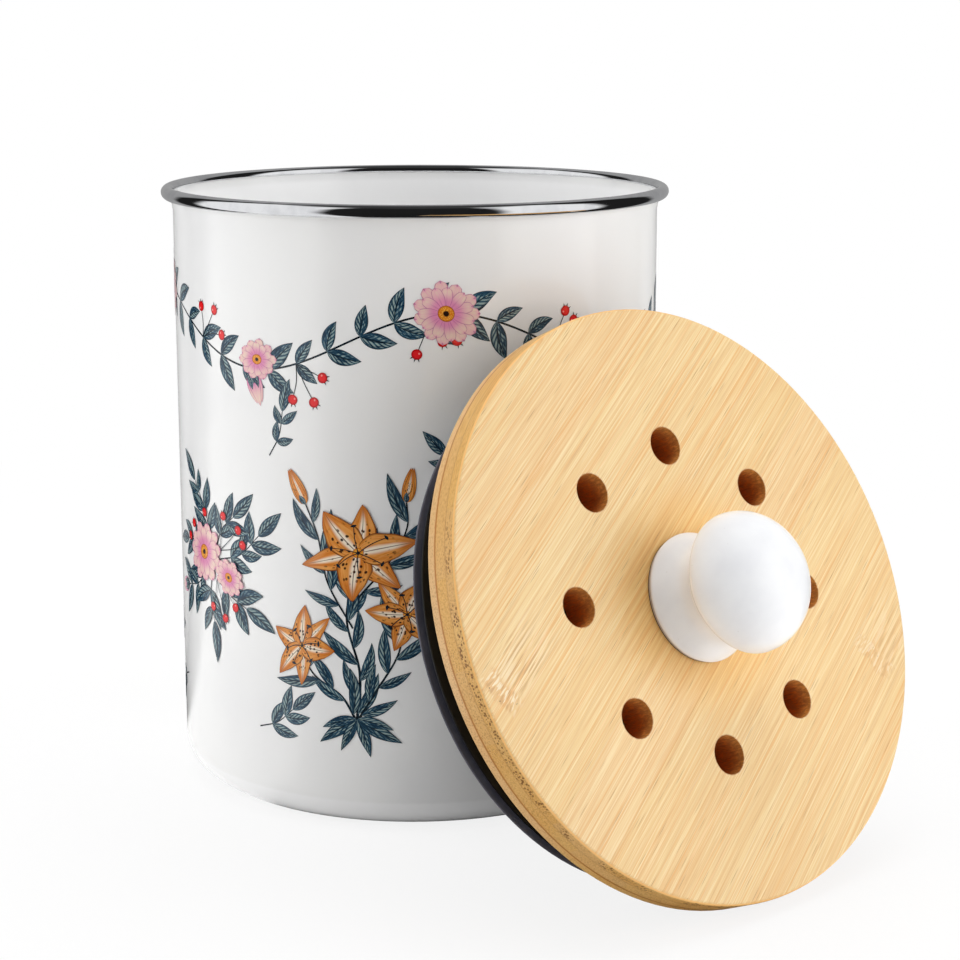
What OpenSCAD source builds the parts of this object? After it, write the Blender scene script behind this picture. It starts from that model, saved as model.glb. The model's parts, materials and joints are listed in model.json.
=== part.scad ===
// Compost caddy: an enamelled steel canister with a bright rolled rim, and a bamboo lift-off
// lid that carries a vent filter, a lip seal and a round knob. The lid is modelled in its own
// frame, with its underside at z = 0 and the knob up, and is then stood on edge beside the
// canister, leaning on the wall.
// Lengths in millimetres, angles in degrees.

/* [Canister] */
// Outside diameter of the steel body
body_d = 158.6; // [120:0.2:240]
// Height from the foot to the top of the rim
height = 196; // [150:1:320]
// Thickness of the enamelled steel
wall = 0.9; // [0.6:0.1:1.4]
// Outside radius of the rounded corner at the foot
foot_r = 13; // [6:1:18]
// Middle diameter of the stiffening ring pressed up into the bottom
press_d = 96; // [50:1:100]
// Width of that ring across its foot
press_w = 9; // [6:1:14]
// How far that ring is pressed up
press_h = 1.2; // [0.5:0.1:2]

/* [Rim] */
// How far the rim stands out past the body
rim_out = 3.7; // [3.2:0.1:5]
// Diameter of the round bead along the rim
bead_d = 4.2; // [3.8:0.1:5]
// Thickness of the bright band closed around the bead
band_t = 0.5; // [0.3:0.05:0.6]
// Height of the stretch where the wall flares out to the bead
flare_h = 5.5; // [4:0.5:12]

/* [Lid board] */
// How far the board's edge stands out past the rim
board_out = 5.5; // [2:0.5:12]
// Thickness of the board
board_t = 12; // [9:0.5:18]
// Radius of the rounding on the board's two edges
board_edge = 1.2; // [0.5:0.1:3]
// Number of vent holes
vent_n = 8; // [4:1:10]
// Diameter of each vent hole
vent_d = 11.5; // [5:0.5:13]
// Diameter of the circle that the vent holes lie on
vent_circle = 92; // [70:1:94]

/* [Knob] */
// Diameter of the knob's head
head_d = 41.2; // [30:0.2:54]
// Height of the head's widest place above the knob's foot
head_mid = 19.6; // [18:0.2:30]
// Height of the head above its widest place
head_rise = 16; // [14:0.5:22]
// Diameter of the knob's foot
base_d = 38.5; // [32:0.5:48]
// Diameter of the knob's waist
waist_d = 28.5; // [18:0.5:32]
// Height of the waist above the knob's foot
waist_h = 11; // [7:0.5:14]
// Thickness of the gasket under the knob
gasket_t = 0.6; // [0.4:0.1:2]

/* [Filter housing] */
// Gap between the housing's side and the canister's bore when the lid is on
housing_gap = 2.9; // [2:0.1:5]
// Depth of the housing below the board
housing_h = 20.4; // [18:0.2:30]
// Thickness of the housing's side wall
housing_wall = 3; // [2.6:0.1:4]
// Thickness of the housing's top plate
plate_t = 2; // [1.5:0.1:3]
// Height of the ribs that hold the filter off the plate
rib_h = 4.3; // [4.3:0.1:7]
// Thickness of the ledges that hold the cover
ledge_t = 1.5; // [1:0.1:2]
// How far the ledges reach inward
ledge_in = 2; // [1.5:0.1:3]
// Angle that each ledge spans
ledge_span = 24; // [12:1:30]

/* [Filter and cover] */
// Thickness of the perforated cover
cover_t = 1.8; // [1.2:0.1:3]
// Diameter of the holes in the cover
cover_hole_d = 5; // [3:0.5:6]
// Distance between rings of holes in the cover
cover_pitch = 11; // [9:0.5:14]
// Length of the grip bar on the cover
grip_l = 46; // [30:1:60]
// Width of the grip bar
grip_w = 6; // [4:0.5:10]
// How far the grip bar stands out from the cover
grip_h = 5; // [3:0.5:8]

/* [Lip seal] */
// How far each lip reaches past the canister's bore when it is free
lip_squeeze = 0.9; // [0.4:0.1:1.4]
// Height of the seal's band
seal_h = 5.3; // [4.6:0.1:6]
// Depth of the groove that the seal sits in
seal_seat = 1.5; // [1:0.1:1.6]
// How far the seal's band stands out of its groove
seal_proud = 0.5; // [0.2:0.1:1]
// Distance between the two lips
lip_pitch = 3.9; // [3:0.1:4.2]
// Thickness of a lip at its tip
lip_t = 0.8; // [0.6:0.1:1.2]

/* [Fasteners] */
// Diameter of the knob screw's shank
screw_d = 5; // [4:0.5:6]
// Length of the knob screw below its head
screw_l = 25; // [22:1:26]
// Outside diameter of the threaded insert in the knob
insert_d = 8.5; // [7.5:0.5:10]
// Length of the threaded insert
insert_l = 12; // [8:1:14]
// Outside diameter of the washer under the knob screw
washer_d = 15; // [12:0.5:20]
// Thickness of that washer
washer_t = 1.2; // [0.8:0.1:1.6]
// Number of small wood screws that hold the housing to the board
small_n = 4; // [3:1:6]
// Diameter of a small screw's shank
small_d = 3; // [2.5:0.5:4]
// Length of a small screw below its head
small_l = 10; // [8:0.5:10.5]

/* [How the lid stands] */
// Direction that the lid faces, measured from the front toward the right
lid_facing = 42; // [0:1:360]
// How far the lid's face is tipped up from facing level
lid_lean = 24.4; // [18:0.1:35]
// How far round the lip from its top the lid touches the canister
lid_aside = 6.7; // [0:0.1:12]
// Turn of the lid about its own axis
lid_roll = -7; // [-180:1:180]

/* [Clearances] */
// Gap left where the leaning seal meets the canister
rest_gap = 0.3; // [0.2:0.05:0.6]
// Gap around parts that are pushed or screwed together
fit_gap = 0.05; // [0.02:0.01:0.1]
// Gap around the cover, which turns in the housing
turn_gap = 0.3; // [0.2:0.05:0.5]
// Gap between the filter and what holds it
filter_gap = 0.3; // [0.2:0.05:0.6]

/* [Hidden] */

$fn = 120;        // smoothness of the round shapes
arc_n = 12;       // straight steps in a drawn quarter arc
cut = 1;          // how far a cutting shape runs past the face it cuts

enamel = "white";
bright_steel = "silver";
bamboo = "burlywood";
glaze = "whitesmoke";
black_plastic = "#26262a";
charcoal = "#33343a";

// Canister
body_r = body_d / 2;
bore_r = body_r - wall;
bead_r = bead_d / 2;
rim_r = body_r + rim_out;
bead_x = rim_r - bead_r;                    // centre of the bead's round section
bead_z = height - bead_r;
curl_r = bead_r - band_t - fit_gap;         // outside radius of the rolled edge of the shell
curl_end = -40;                             // angle at which the rolled edge stops
band_from = -70;                            // angles between which the band wraps the bead
band_to = 186;
press_r = press_d / 2;
press_slope = 1.5;                          // width of the pressed ring's sloping sides

// Lid: board, knob, housing
board_r = rim_r + board_out;
vent_r = vent_circle / 2;
knob_z = board_t + gasket_t;
knob_bore_h = insert_l + 2;
base_r = base_d / 2;
head_r = head_d / 2;
waist_r = waist_d / 2;
base_round = 1;                             // rounding at the knob's foot
gasket_in = 0.4;                            // how far the gasket's edge lies inside the knob's
housing_r = bore_r - housing_gap;
housing_bore = housing_r - housing_wall;
plate_vent_d = vent_d + 1;
seal_land = 1.2;                            // wall left between the groove and the open end
housing_round = seal_land - 0.2;            // rounding at the open end
land_r = housing_r - 0.8;                   // radius of the housing past the seal
ledge_inset = 0.3;                          // how far the ledges lie inside the open end
rib_w = 1.6;
rib_from = 14;                              // the ribs run between these two radii
rib_to = housing_bore - 4;
cover_z = -(housing_h - ledge_inset - ledge_t - turn_gap);  // lower face of the cover
cover_r = housing_bore - turn_gap;
notch_r = housing_bore - ledge_in - turn_gap;
notch_span = ledge_span + 5;
ledge_n = 3;
cover_turn = 40;                            // turn from locked to released
filter_top = -(plate_t + rib_h + filter_gap);
filter_t = filter_top - (cover_z + cover_t) - filter_gap;
filter_r = housing_bore - 2;

// Seal
seal_top = -(housing_h - seal_land - seal_h);            // upper face of the band
groove_r = housing_r - seal_seat;
seal_r = housing_r + seal_proud;
lip_r = bore_r + lip_squeeze;
lip_tip = lip_t / 2;
lip_low = seal_top - seal_h + lip_tip + 0.1;            // height of the lower lip's tip
lip_droop = 0.3;                            // how far a lip's root is thicker than its tip, each side

// Fasteners
screw_r = screw_d / 2;
head_screw_r = screw_r * 1.8;
head_screw_h = screw_r * 1.16;
small_r = small_d / 2;
small_circle_r = housing_bore - 10;
small_turn = 22.5;                          // puts the small screws between the vent holes

// Where the lid stands: its lower edge on the ground and its seal against the wall
lean_norm = norm([sin(lid_lean) * sin(lid_aside), cos(lid_aside)]);
lip_mid_r = lip_r - lip_tip;
standoff = body_r + rest_gap + lip_tip;
lip_out = cos(lid_aside) * (lip_mid_r * sin(lid_lean) + standoff / lean_norm);
lip_side = -sin(lid_aside) * (lip_mid_r + standoff * sin(lid_lean) / lean_norm);
lid_out = lip_out - lip_low * cos(lid_lean);
lid_up = board_edge + (board_r - board_edge) * cos(lid_lean) - board_edge * sin(lid_lean);

// Points along an arc, from angle a0 to angle a1
function arc(cx, cy, r, a0, a1, n = arc_n) =
    [for (i = [0:n]) let (a = a0 + (a1 - a0) * i / n) [cx + r * cos(a), cy + r * sin(a)]];

// Points along a cubic curve, leaving out its first point
function curve(p0, p1, p2, p3, n = arc_n) =
    [for (i = [1:n]) let (t = i / n, u = 1 - t)
        u * u * u * p0 + 3 * u * u * t * p1 + 3 * u * t * t * p2 + t * t * t * p3];

// Stands the lid, drawn in its own frame, beside the canister
module stand_lid() {
    rotate([0, 0, lid_facing - 90])
        translate([lid_out, lip_side, lid_up])
            rotate([0, 90 - lid_lean, 0])
                rotate([0, 0, lid_roll])
                    children();
}

// One copy at each of n places around the lid's axis, at radius r
module around(n, r, turn = 0) {
    for (i = [0:n - 1])
        rotate([0, 0, turn + 360 * i / n])
            translate([r, 0, 0])
                children();
}

// The pressed steel pot, with its edge rolled outward at the top
module canister_shell() {
    outer = concat(
        [[0, 0], [press_r - press_w / 2, 0], [press_r - press_w / 2 + press_slope, press_h],
         [press_r + press_w / 2 - press_slope, press_h], [press_r + press_w / 2, 0]],
        arc(body_r - foot_r, foot_r, foot_r, -90, 0),
        [[body_r, bead_z - flare_h]],
        arc(bead_x, bead_z, curl_r - wall, 180, curl_end, 2 * arc_n));
    inner = concat(
        arc(bead_x, bead_z, curl_r, curl_end, 180, 2 * arc_n),
        [[bore_r, bead_z - flare_h]],
        arc(body_r - foot_r, foot_r, foot_r - wall, 0, -90),
        [[press_r + press_w / 2, wall], [press_r + press_w / 2 - press_slope, press_h + wall],
         [press_r - press_w / 2 + press_slope, press_h + wall], [press_r - press_w / 2, wall],
         [0, wall]]);
    color(enamel)
        rotate_extrude()
            polygon(concat(outer, inner));
}

// The bright band closed around the rolled edge
module rim_band() {
    color(bright_steel)
        rotate_extrude()
            polygon(concat(
                arc(bead_x, bead_z, bead_r, band_from, band_to, 3 * arc_n),
                arc(bead_x, bead_z, bead_r - band_t, band_to, band_from, 3 * arc_n)));
}

// The bamboo board, with its vent holes and the holes for its screws
module lid_board() {
    color(bamboo)
        stand_lid()
            difference() {
                rotate_extrude()
                    polygon(concat(
                        [[0, 0]],
                        arc(board_r - board_edge, board_edge, board_edge, -90, 0, 6),
                        arc(board_r - board_edge, board_t - board_edge, board_edge, 0, 90, 6),
                        [[0, board_t]]));
                around(vent_n, vent_r)
                    translate([0, 0, -cut])
                        cylinder(d = vent_d, h = board_t + 2 * cut);
                translate([0, 0, -cut])
                    cylinder(r = screw_r + fit_gap, h = board_t + 2 * cut);
                around(small_n, small_circle_r, small_turn)
                    translate([0, 0, -cut])
                        cylinder(r = small_r + fit_gap, h = small_l - plate_t + 0.5 + cut);
            }
}

// The round knob: foot, waist and head in one turned shape, bored for its insert
module knob() {
    neck_h = head_mid - waist_h;
    outline = concat(
        [[0, 0]],
        arc(base_r - base_round, base_round, base_round, -90, 20, 6),
        curve([base_r - base_round + base_round * cos(20), base_round + base_round * sin(20)],
              [base_r - 2.2, waist_h * 0.5], [waist_r, waist_h * 0.55], [waist_r, waist_h]),
        curve([waist_r, waist_h], [waist_r, waist_h + neck_h * 0.25],
              [head_r, head_mid - neck_h * 0.3], [head_r, head_mid], 12),
        [for (i = [1:22]) let (a = 90 * i / 22)
            [head_r * cos(a), head_mid + head_rise * sin(a)]]);
    color(glaze)
        stand_lid()
            translate([0, 0, knob_z])
                difference() {
                    rotate_extrude()
                        polygon(outline);
                    translate([0, 0, -cut])
                        cylinder(r = insert_d / 2 + fit_gap, h = knob_bore_h + cut);
                }
}

// The thin rubber ring under the knob
module knob_gasket() {
    color(black_plastic)
        stand_lid()
            translate([0, 0, board_t])
                difference() {
                    cylinder(r = base_r - gasket_in, h = gasket_t);
                    translate([0, 0, -cut])
                        cylinder(r = insert_d / 2, h = gasket_t + 2 * cut);
                }
}

// The threaded brass insert in the knob
module knob_insert() {
    color("goldenrod")
        stand_lid()
            translate([0, 0, knob_z])
                difference() {
                    cylinder(d = insert_d, h = insert_l);
                    translate([0, 0, -cut])
                        cylinder(r = screw_r + fit_gap, h = insert_l + 2 * cut);
                }
}

// A pan-head screw along +z, with its shank's tip at the top and a cross slot in its head
module pan_screw(r, l, head_r, head_h) {
    slot_w = head_r * 0.25;
    difference() {
        union() {
            cylinder(r = r, h = l - r * 0.4);
            translate([0, 0, l - r * 0.4])
                cylinder(r1 = r, r2 = r * 0.6, h = r * 0.4);
            translate([0, 0, -head_h])
                cylinder(r1 = head_r * 0.82, r2 = head_r, h = head_h * 0.4);
            translate([0, 0, -head_h * 0.6])
                cylinder(r = head_r, h = head_h * 0.6);
        }
        for (a = [0, 90])
            rotate([0, 0, a])
                translate([-head_r * 0.55, -slot_w / 2, -head_h - cut])
                    cube([head_r * 1.1, slot_w, head_h * 0.5 + cut]);
    }
}

// The screw that clamps the knob, the board and the housing together
module knob_screw() {
    color(bright_steel)
        stand_lid()
            translate([0, 0, -plate_t - washer_t])
                pan_screw(screw_r, screw_l, head_screw_r, head_screw_h);
}

// The washer under the knob screw's head
module screw_washer() {
    color(bright_steel)
        stand_lid()
            translate([0, 0, -plate_t - washer_t])
                difference() {
                    cylinder(d = washer_d, h = washer_t);
                    translate([0, 0, -cut])
                        cylinder(r = screw_r + fit_gap, h = washer_t + 2 * cut);
                }
}

// A part of a flat ring between two radii, centred on the +x side
module sector(span, r_in, r_out, h) {
    rotate([0, 0, -span / 2])
        rotate_extrude(angle = span)
            translate([r_in, 0])
                square([r_out - r_in, h]);
}

// The plastic cup under the board, which holds the filter and carries the seal
module filter_housing() {
    ledge_r = housing_bore + housing_wall / 4;
    side = [
        [0, 0], [housing_r, 0], [housing_r, seal_top + fit_gap], [groove_r, seal_top + fit_gap],
        [groove_r, seal_top - seal_h - fit_gap], [land_r, seal_top - seal_h - fit_gap]];
    color(black_plastic)
        stand_lid()
            difference() {
                union() {
                    rotate_extrude()
                        polygon(concat(
                            side,
                            arc(land_r - housing_round, housing_round - housing_h,
                                housing_round, 0, -90, 6),
                            [[housing_bore, -housing_h], [housing_bore, -plate_t],
                             [0, -plate_t]]));
                    for (i = [0:ledge_n - 1])
                        rotate([0, 0, 360 * (i + 0.5) / ledge_n])
                            translate([0, 0, ledge_inset - housing_h])
                                sector(ledge_span, housing_bore - ledge_in, ledge_r, ledge_t);
                    for (i = [0:small_n - 1])
                        rotate([0, 0, small_turn + 360 * (i + 0.5) / small_n])
                            translate([rib_from, -rib_w / 2, -plate_t - rib_h])
                                cube([rib_to - rib_from, rib_w, rib_h + plate_t / 2]);
                }
                around(vent_n, vent_r)
                    translate([0, 0, -plate_t - cut])
                        cylinder(d = plate_vent_d, h = plate_t + 2 * cut);
                translate([0, 0, -plate_t - cut])
                    cylinder(r = screw_r + fit_gap, h = plate_t + 2 * cut);
                around(small_n, small_circle_r, small_turn)
                    translate([0, 0, -plate_t - cut])
                        cylinder(r = small_r + fit_gap, h = plate_t + 2 * cut);
            }
}

// The small wood screws that hold the housing to the board
module housing_screws() {
    color(bright_steel)
        stand_lid()
            around(small_n, small_circle_r, small_turn)
                translate([0, 0, -plate_t])
                    pan_screw(small_r, small_l, small_r * 2, small_r * 1.3);
}

// The silicone seal: a band in the housing's groove with two thin lips
module lid_seal() {
    in_r = groove_r + fit_gap;
    low = seal_top - seal_h;
    high_tip = lip_low + lip_pitch;
    color(charcoal)
        stand_lid()
            rotate_extrude()
                polygon(concat(
                    [[in_r, low], [seal_r, low]],
                    arc(lip_mid_r, lip_low, lip_tip, -90, 90, 6),
                    [[seal_r, lip_low + lip_tip + lip_droop],
                     [seal_r, high_tip - lip_tip - lip_droop]],
                    arc(lip_mid_r, high_tip, lip_tip, -90, 90, 6),
                    [[seal_r, min(seal_top, high_tip + lip_tip + lip_droop)],
                     [seal_r, seal_top], [in_r, seal_top]]));
}

// The charcoal filter, a thick felt disc
module charcoal_filter() {
    color("#2b2b2b")
        stand_lid()
            translate([0, 0, filter_top - filter_t])
                cylinder(r = filter_r, h = filter_t);
}

// The perforated cover that turns under the ledges, with a bar to grip it by
module filter_cover() {
    rings = floor((notch_r - cover_hole_d / 2 - 3) / cover_pitch);
    color(black_plastic)
        stand_lid()
            translate([0, 0, cover_z])
                difference() {
                    union() {
                        cylinder(r = cover_r, h = cover_t);
                        translate([-grip_l / 2 + grip_w / 2, -grip_w / 2, -grip_h])
                            cube([grip_l - grip_w, grip_w, grip_h + cover_t / 2]);
                        for (s = [-1, 1])
                            translate([s * (grip_l - grip_w) / 2, 0, -grip_h])
                                cylinder(d = grip_w, h = grip_h + cover_t / 2);
                    }
                    for (i = [0:ledge_n - 1])
                        rotate([0, 0, 360 * (i + 0.5) / ledge_n + cover_turn])
                            translate([0, 0, -cut])
                                sector(notch_span, notch_r, cover_r + cut, cover_t + 2 * cut);
                    for (k = [1:rings])
                        for (i = [0:6 * k - 1])
                            let (a = 360 * i / (6 * k) + 15, x = k * cover_pitch * cos(a),
                                 y = k * cover_pitch * sin(a))
                                if (abs(x) > grip_l / 2 + cover_hole_d
                                    || abs(y) > grip_w / 2 + cover_hole_d / 2 + 1)
                                    translate([x, y, -cut])
                                        cylinder(d = cover_hole_d, h = cover_t + 2 * cut);
                }
}

canister_shell();
rim_band();
lid_board();
knob();
knob_gasket();
knob_insert();
knob_screw();
screw_washer();
filter_housing();
housing_screws();
lid_seal();
charcoal_filter();
filter_cover();
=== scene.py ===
import functools
import json
import math
import random

import bmesh
import bpy
import numpy as np
from mathutils import Matrix, Vector


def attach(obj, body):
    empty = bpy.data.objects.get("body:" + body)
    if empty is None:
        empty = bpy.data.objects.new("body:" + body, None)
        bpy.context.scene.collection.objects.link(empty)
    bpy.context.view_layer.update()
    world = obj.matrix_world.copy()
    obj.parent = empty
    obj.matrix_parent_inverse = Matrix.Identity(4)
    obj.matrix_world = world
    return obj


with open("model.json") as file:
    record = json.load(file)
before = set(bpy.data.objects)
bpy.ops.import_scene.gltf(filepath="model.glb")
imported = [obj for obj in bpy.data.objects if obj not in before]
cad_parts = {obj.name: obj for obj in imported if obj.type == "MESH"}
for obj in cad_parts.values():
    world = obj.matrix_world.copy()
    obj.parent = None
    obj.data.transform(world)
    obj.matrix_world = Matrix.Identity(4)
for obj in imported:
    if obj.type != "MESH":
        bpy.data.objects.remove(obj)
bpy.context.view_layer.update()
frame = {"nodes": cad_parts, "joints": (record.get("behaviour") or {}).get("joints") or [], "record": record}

# The compost caddy's looks: finishes for its CAD solids, the print on the canister's wall, and the
# stage, light and camera. The scene is in metres. Finishes and print are laid out in millimetres.
MM = 0.001
NODES = frame["nodes"]

# ---------------------------------------------------------------- sizes, in mm
WALL_R = 79.3          # the canister's outer wall
WALL_T = 0.9
GIRTH = 2 * math.pi * WALL_R
BOARD_T = 12.0         # the lid board, back to face
GLUE_LOW, GLUE_HIGH = 3.8, 8.3    # the joints between the board's three plies
VENT_RING = 46.0
VENT_R = 5.75
VENT_COUNT = 8
STRIP_W = 19.0         # one bamboo strip
GRAIN_TILT = 35        # degrees from level, in the board's plane
VENT_TILT = -132       # degrees from the grain to the first vent
# Along and across the lid, half the width, and how strongly it shows.
KNUCKLES = ((37.5, -64.0, 11.0, 0.5), (-73.0, 37.5, 8.5, 0.9))
SEAL_SPLIT = -16.4     # between the seal's outer lip and the part next to the board, which is painted black as shade in the recess

# The lid's own axes: along the grain, across it, and out of its face.
TWIST = next(j for j in frame["joints"] if j["name"] == "cover_twist")
LID_AT = Vector(TWIST["pos_m"])
LID_OUT = Vector(TWIST["axis"]).normalized()
level = Vector((0, 0, 1)).cross(LID_OUT).normalized()
upward = LID_OUT.cross(level)
tilt = math.radians(GRAIN_TILT)
GRAIN = level * math.cos(tilt) + upward * math.sin(tilt)
ACROSS = LID_OUT.cross(GRAIN)
LID_TURN = Matrix((GRAIN, ACROSS, LID_OUT)).transposed().to_euler()


# ---------------------------------------------------------------- node helpers
def rgb(red, green, blue):
    """A colour as a screen shows it, 0 to 255, in the linear values that shaders take."""
    def linear(value):
        level = value / 255
        return level / 12.92 if level <= 0.04045 else ((level + 0.055) / 1.055) ** 2.4
    return linear(red), linear(green), linear(blue), 1.0


def put(tree, kind, inputs=None, output=0, **settings):
    """Adds a node, fills or links its inputs, and returns one of its outputs."""
    node = tree.nodes.new("ShaderNode" + kind)
    for key, value in settings.items():
        setattr(node, key, value)
    for key, value in (inputs or {}).items():
        if isinstance(value, bpy.types.NodeSocket):
            tree.links.new(value, node.inputs[key])
        else:
            node.inputs[key].default_value = value
    return node.outputs[output]


def calc(tree, operation, *values):
    return put(tree, "Math", dict(enumerate(values)), operation=operation)


def chain(tree, operation, values):
    """Works an operation through any number of values, from the left."""
    return functools.reduce(lambda total, value: calc(tree, operation, total, value), values)


def times(tree, *values):
    return chain(tree, "MULTIPLY", values)


def plus(tree, *values):
    return chain(tree, "ADD", values)


def minus(tree, *values):
    return chain(tree, "SUBTRACT", values)


def highest(tree, *values):
    return chain(tree, "MAXIMUM", values)


def norm(tree, vector):
    return put(tree, "VectorMath", {0: vector}, output=1, operation="LENGTH")


def rise(tree, value, low, high):
    """0 below low, 1 above high and smooth between. low may be above high."""
    if low > high:
        return minus(tree, 1.0, rise(tree, value, high, low))
    return put(
        tree, "MapRange", {"Value": value, "From Min": low, "From Max": high},
        interpolation_type="SMOOTHSTEP",
    )


def hump(tree, value, middle, half):
    """1 at the middle, falling smoothly to 0 at half on either side."""
    away = calc(tree, "ABSOLUTE", minus(tree, value, middle))
    return rise(tree, away, half, 0.0)


def blend(tree, factor, under, over, how="MIX"):
    colours = {0: factor, 6: under, 7: over}
    return put(tree, "Mix", colours, output=2, data_type="RGBA", blend_type=how)


def mark(tree, tone, marks, strength=1.0):
    """Lays marks over a tone, one after another: where each goes, its share and its colour."""
    for where, share, colour in marks:
        tone = blend(tree, times(tree, where, share * strength), tone, colour)
    return tone


def noise(tree, place, scale=1.0, detail=3.0, roughness=0.55, output=0):
    inputs = {"Vector": place, "Scale": scale, "Detail": detail, "Roughness": roughness}
    return put(tree, "TexNoise", inputs, output=output)


def cells(tree, place, scale=1.0):
    """How far it is to the middle of the nearest cell."""
    return put(tree, "TexVoronoi", {"Vector": place, "Scale": scale})


def chance(tree, place):
    """A random number for each whole-numbered place."""
    return put(tree, "TexWhiteNoise", {"Vector": place}, noise_dimensions="3D")


def stretch(tree, place, x, y, z):
    return put(tree, "VectorMath", {0: place, 1: (x, y, z)}, operation="MULTIPLY")


def split(tree, place):
    node = tree.nodes.new("ShaderNodeSeparateXYZ")
    tree.links.new(place, node.inputs[0])
    return node.outputs[0], node.outputs[1], node.outputs[2]


def join(tree, x, y, z=0.0):
    return put(tree, "CombineXYZ", {0: x, 1: y, 2: z})


def bumps(tree, height, depth_mm, strength):
    inputs = {"Height": height, "Distance": depth_mm * MM, "Strength": strength}
    return put(tree, "Bump", inputs)


def in_mm(tree):
    """The surface's own place in millimetres, which stays with the piece when it moves."""
    place = put(tree, "TexCoord", output=3)
    return stretch(tree, place, 1 / MM, 1 / MM, 1 / MM)


def lid_place(tree):
    """Place in the lid's axes, in mm: along the grain, across it, up from the board's back."""
    place = put(tree, "TexCoord", output=3)
    local = put(
        tree, "Mapping", {"Vector": place, "Location": LID_AT, "Rotation": LID_TURN},
        vector_type="TEXTURE",
    )
    return stretch(tree, local, 1 / MM, 1 / MM, 1 / MM)


def facing(tree, axis):
    """How squarely the surface faces an axis: 1 along it, 0 side on, -1 away."""
    normal = put(tree, "TexCoord", output=1)
    return put(tree, "VectorMath", {0: normal, 1: axis}, output=1, operation="DOT_PRODUCT")


def finish(name, **values):
    """A new material with its shader's plain values set. Returns it, its tree and its shader."""
    material = bpy.data.materials.new(name)
    material.use_nodes = True
    tree = material.node_tree
    shader = tree.nodes["Principled BSDF"]
    for key, value in values.items():
        shader.inputs[key.replace("_", " ")].default_value = value
    return material, tree, shader


def feed(tree, shader, **sockets):
    for key, value in sockets.items():
        tree.links.new(value, shader.inputs[key.replace("_", " ")])


# ---------------------------------------------------------------- finishes
def enamel():
    """Glossy white with a faint mottle and specks, painted whiter inside to lighten the shaded interior, a
    little worn at the foot.
    """
    material, tree, shader = finish("enamel", Roughness=0.1, IOR=1.52)
    place = in_mm(tree)
    x, y, z = split(tree, place)
    cloud = noise(tree, place, 0.02, 2.0)
    white = blend(tree, rise(tree, cloud, 0.35, 0.65), rgb(248, 248, 247), rgb(244, 244, 244))
    out = norm(tree, join(tree, x, y))
    # Painted light: the inner surface is painted whiter than the outside, to lighten the interior's shade.
    painted_light_inside = rise(tree, out, WALL_R - WALL_T / 3, WALL_R - WALL_T * 2 / 3)
    foot = times(tree, rise(tree, z, 1.6, 0.1), rise(tree, noise(tree, place, 0.5), 0.42, 0.6))
    foot = times(tree, foot, rise(tree, facing(tree, (0, 0, 1)), 0.5, 0.1))
    specks = rise(tree, cells(tree, place, 0.07), 0.05, 0.02)
    marks = (
        (painted_light_inside, 1.0, rgb(253, 253, 253)),
        (foot, 0.55, rgb(176, 178, 182)),
        (specks, 0.14, rgb(120, 120, 122)),
    )
    colour = mark(tree, white, marks)
    peel = noise(tree, place, 0.22, 2.0, 0.5)
    ripple = noise(tree, place, 0.06, 1.0, 0.4)
    height = plus(tree, times(tree, ripple, 2.0), peel)
    gloss = put(tree, "MapRange", {"Value": cloud, "To Min": 0.075, "To Max": 0.13})
    feed(tree, shader, Base_Color=colour, Roughness=gloss, Normal=bumps(tree, height, 0.02, 0.35))
    return material


def rim_steel():
    material, tree, shader = finish("rim_steel", Metallic=1.0, Roughness=0.07)
    place = in_mm(tree)
    x, y, z = split(tree, place)
    around = calc(tree, "ARCTAN2", y, x)
    rolled = join(tree, times(tree, around, 3.0), times(tree, z, 9.0))
    lines = noise(tree, rolled, 1.0, 4.0, 0.7)
    smudge = noise(tree, place, 0.09, 3.0)
    colour = blend(tree, rise(tree, smudge, 0.4, 0.7), rgb(226, 227, 229), rgb(212, 213, 216))
    rough = plus(tree, times(tree, lines, 0.06), times(tree, smudge, 0.07))
    feed(tree, shader, Base_Color=colour, Roughness=rough, Normal=bumps(tree, lines, 0.004, 0.3))
    return material


def knuckle(tree, tone, face, place, at_along, at_across, wide, strength):
    """A node of the cane: short pale dashes that fan out, and streaks that run into them."""
    along, across, _ = split(tree, place)
    side = minus(tree, across, at_across)
    bow = times(tree, noise(tree, join(tree, 0.0, times(tree, across, 0.1)), 1.0, 1.0), 6.0)
    run = plus(tree, minus(tree, along, at_along + 3.0), bow)
    in_width = rise(tree, calc(tree, "ABSOLUTE", side), wide, wide * 0.5)
    reach = times(tree, in_width, rise(tree, face, 0.5, 0.9))
    band = times(tree, rise(tree, calc(tree, "ABSOLUTE", run), 3.8, 2.2), reach)
    fan = plus(tree, side, times(tree, side, run, 0.035))
    dash_at = join(tree, times(tree, run, 0.26), times(tree, fan, 1.25), at_along)
    dash = noise(tree, dash_at, 1.0, 1.0, 0.4)
    spot = cells(tree, join(tree, times(tree, run, 0.5), times(tree, fan, 0.6), at_along))
    line_at = join(tree, times(tree, run, 0.06), times(tree, side, 1.5), at_along)
    line = noise(tree, line_at, 1.0, 2.0, 0.5)
    lead = times(tree, rise(tree, run, 2.0, 5.0), rise(tree, run, 32.0, 12.0), reach)
    marks = (
        (band, 0.3, rgb(220, 164, 110)),
        (times(tree, band, rise(tree, dash, 0.53, 0.6)), 0.85, rgb(252, 238, 208)),
        (times(tree, band, rise(tree, dash, 0.42, 0.34)), 0.5, rgb(196, 142, 92)),
        (times(tree, band, rise(tree, spot, 0.13, 0.08)), 0.8, rgb(116, 78, 48)),
        (times(tree, lead, rise(tree, line, 0.53, 0.59)), 0.75, rgb(250, 230, 194)),
        (times(tree, lead, rise(tree, line, 0.47, 0.4)), 0.6, rgb(192, 142, 96)),
    )
    return mark(tree, tone, marks, strength)


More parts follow.
